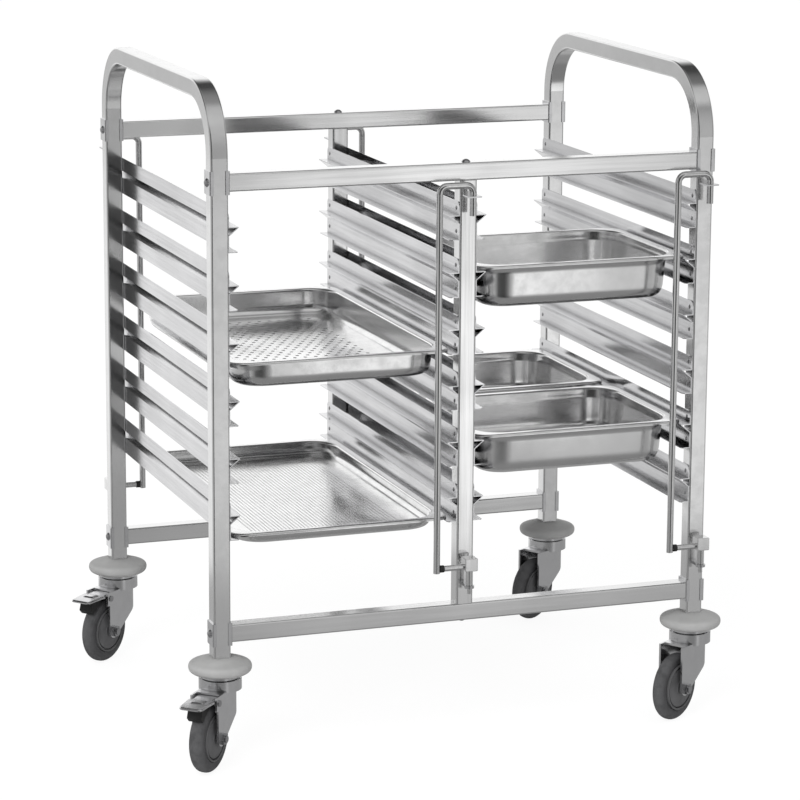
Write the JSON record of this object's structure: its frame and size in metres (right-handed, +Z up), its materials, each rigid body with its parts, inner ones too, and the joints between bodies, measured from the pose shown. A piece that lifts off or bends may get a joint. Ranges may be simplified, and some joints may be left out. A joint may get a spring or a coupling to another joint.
{
  "type": "tray trolley",
  "caption": "Stainless two-column tray trolley on swivel castors, with arched end frames, folded runners, swinging stop bars, corner bumpers and removable pans.",
  "frame": {"origin": "on the floor under the middle of the four legs", "axes": "+X from the left end frame to the right one, -Y the front, +Z up"},
  "size_m": [0.8606, 0.6937, 0.964],
  "materials": {
    "polished_tube": "polished square stainless tube",
    "pressed_steel": "pressed stainless sheet",
    "fastener_steel": "plain stainless fasteners",
    "runner_sheet": "folded stainless sheet, fine brushed",
    "rod_steel": "polished stainless rod",
    "zinc_plate": "bright zinc plated pressings",
    "bumper_rubber": "matte grey rubber",
    "tyre_rubber": "grey elastic rubber",
    "core_plastic": "dark grey moulded core",
    "pad_rubber": "black brake rubber",
    "pan_steel": "bright pressed stainless sheet"
  },
  "bodies": {
    "frame": {"left_end_frame": "polished_tube", "right_end_frame": "polished_tube", "front_top_rail": "polished_tube", "rear_top_rail": "polished_tube", "front_bottom_rail": "polished_tube", "rear_bottom_rail": "polished_tube", "front_centre_post": "polished_tube", "rear_centre_post": "polished_tube", "outer_saddles": "pressed_steel", "inner_saddles": "pressed_steel", "frame_bolts": "fastener_steel", "post_bolts": "fastener_steel", "tube_inserts": "fastener_steel", "left_end_runners": "runner_sheet", "left_centre_runners": "runner_sheet", "right_centre_runners": "runner_sheet", "right_end_runners": "runner_sheet", "runner_rivets": "fastener_steel", "stop_bar_lugs": "pressed_steel", "castor_stems": "zinc_plate", "front_left_bumper": "bumper_rubber", "rear_left_bumper": "bumper_rubber", "front_right_bumper": "bumper_rubber", "rear_right_bumper": "bumper_rubber"},
    "front_left_castor": {"front_left_fork": "zinc_plate", "front_left_axle": "zinc_plate", "front_left_pedal_pin": "zinc_plate"},
    "front_left_wheel": {"front_left_tyre": "tyre_rubber", "front_left_wheel_core": "core_plastic"},
    "front_left_brake": {"front_left_brake_pedal": "pressed_steel", "front_left_brake_pad": "pad_rubber"},
    "rear_left_castor": {"rear_left_fork": "zinc_plate", "rear_left_axle": "zinc_plate", "rear_left_pedal_pin": "zinc_plate"},
    "rear_left_wheel": {"rear_left_tyre": "tyre_rubber", "rear_left_wheel_core": "core_plastic"},
    "rear_left_brake": {"rear_left_brake_pedal": "pressed_steel", "rear_left_brake_pad": "pad_rubber"},
    "front_right_castor": {"front_right_fork": "zinc_plate", "front_right_axle": "zinc_plate"},
    "front_right_wheel": {"front_right_tyre": "tyre_rubber", "front_right_wheel_core": "core_plastic"},
    "rear_right_castor": {"rear_right_fork": "zinc_plate", "rear_right_axle": "zinc_plate"},
    "rear_right_wheel": {"rear_right_tyre": "tyre_rubber", "rear_right_wheel_core": "core_plastic"},
    "front_centre_stop_bar": {"front_centre_stop_rod": "rod_steel", "front_centre_stop_pivot": "rod_steel"},
    "front_right_stop_bar": {"front_right_stop_rod": "rod_steel", "front_right_stop_pivot": "rod_steel"},
    "rear_left_stop_bar": {"rear_left_stop_rod": "rod_steel", "rear_left_stop_pivot": "rod_steel"},
    "rear_centre_stop_bar": {"rear_centre_stop_rod": "rod_steel", "rear_centre_stop_pivot": "rod_steel"},
    "left_upper_pan": {"left_upper_pan": "pan_steel"},
    "left_lower_pan": {"left_lower_pan": "pan_steel"},
    "right_upper_pan": {"right_upper_pan": "pan_steel"},
    "right_front_pan": {"right_front_pan": "pan_steel"},
    "right_rear_pan": {"right_rear_pan": "pan_steel"}
  },
  "joints": [
    {"name": "front_left_swivel", "type": "hinge", "parent": "frame", "child": "front_left_castor", "pos_m": [-0.363, -0.28, 0.12], "axis": [0, 0, 1], "continuous": true},
    {"name": "front_left_spin", "type": "hinge", "parent": "front_left_castor", "child": "front_left_wheel", "pos_m": [-0.38924, -0.31019, 0.05], "axis": [0.7547, -0.6561, 0], "continuous": true},
    {"name": "front_left_pedal", "type": "hinge", "parent": "front_left_castor", "child": "front_left_brake", "pos_m": [-0.39449, -0.31623, 0.104], "axis": [0.7547, -0.6561, 0], "range_deg": [0, 6]},
    {"name": "rear_left_swivel", "type": "hinge", "parent": "frame", "child": "rear_left_castor", "pos_m": [-0.363, 0.28, 0.12], "axis": [0, 0, 1], "continuous": true},
    {"name": "rear_left_spin", "type": "hinge", "parent": "rear_left_castor", "child": "rear_left_wheel", "pos_m": [-0.39364, 0.25429, 0.05], "axis": [0.6428, -0.766, 0], "continuous": true},
    {"name": "rear_left_pedal", "type": "hinge", "parent": "rear_left_castor", "child": "rear_left_brake", "pos_m": [-0.39977, 0.24915, 0.104], "axis": [0.6428, -0.766, 0], "range_deg": [0, 6]},
    {"name": "front_right_swivel", "type": "hinge", "parent": "frame", "child": "front_right_castor", "pos_m": [0.363, -0.28, 0.12], "axis": [0, 0, 1], "continuous": true},
    {"name": "front_right_spin", "type": "hinge", "parent": "front_right_castor", "child": "front_right_wheel", "pos_m": [0.32945, -0.30179, 0.05], "axis": [0.5446, -0.8387, 0], "continuous": true},
    {"name": "rear_right_swivel", "type": "hinge", "parent": "frame", "child": "rear_right_castor", "pos_m": [0.363, 0.28, 0.12], "axis": [0, 0, 1], "continuous": true},
    {"name": "rear_right_spin", "type": "hinge", "parent": "rear_right_castor", "child": "rear_right_wheel", "pos_m": [0.32945, 0.25821, 0.05], "axis": [0.5446, -0.8387, 0], "continuous": true},
    {"name": "front_centre_stop_swing", "type": "hinge", "parent": "frame", "child": "front_centre_stop_bar", "pos_m": [0, -0.3105, 0.5], "axis": [0, 0, 1], "range_deg": [0, 180]},
    {"name": "front_right_stop_swing", "type": "hinge", "parent": "frame", "child": "front_right_stop_bar", "pos_m": [0.363, -0.3105, 0.5], "axis": [0, 0, 1], "range_deg": [0, 180]},
    {"name": "rear_left_stop_swing", "type": "hinge", "parent": "frame", "child": "rear_left_stop_bar", "pos_m": [-0.363, 0.3105, 0.5], "axis": [0, 0, 1], "range_deg": [0, 180]},
    {"name": "rear_centre_stop_swing", "type": "hinge", "parent": "frame", "child": "rear_centre_stop_bar", "pos_m": [0, 0.3105, 0.5], "axis": [0, 0, 1], "range_deg": [0, 180]},
    {"name": "left_upper_pan_slide", "type": "slide", "parent": "frame", "child": "left_upper_pan", "axis": [0, 1, 0], "range_m": [-0.02, 0.055]},
    {"name": "left_lower_pan_slide", "type": "slide", "parent": "frame", "child": "left_lower_pan", "axis": [0, 1, 0], "range_m": [-0.02, 0.055]},
    {"name": "right_upper_pan_slide", "type": "slide", "parent": "frame", "child": "right_upper_pan", "axis": [0, 1, 0], "range_m": [-0.02, 0.32]},
    {"name": "right_front_pan_slide", "type": "slide", "parent": "frame", "child": "right_front_pan", "axis": [0, 1, 0], "range_m": [-0.02, 0.01]},
    {"name": "right_rear_pan_slide", "type": "slide", "parent": "frame", "child": "right_rear_pan", "axis": [0, 1, 0], "range_m": [-0.01, 0.033]}
  ]
}
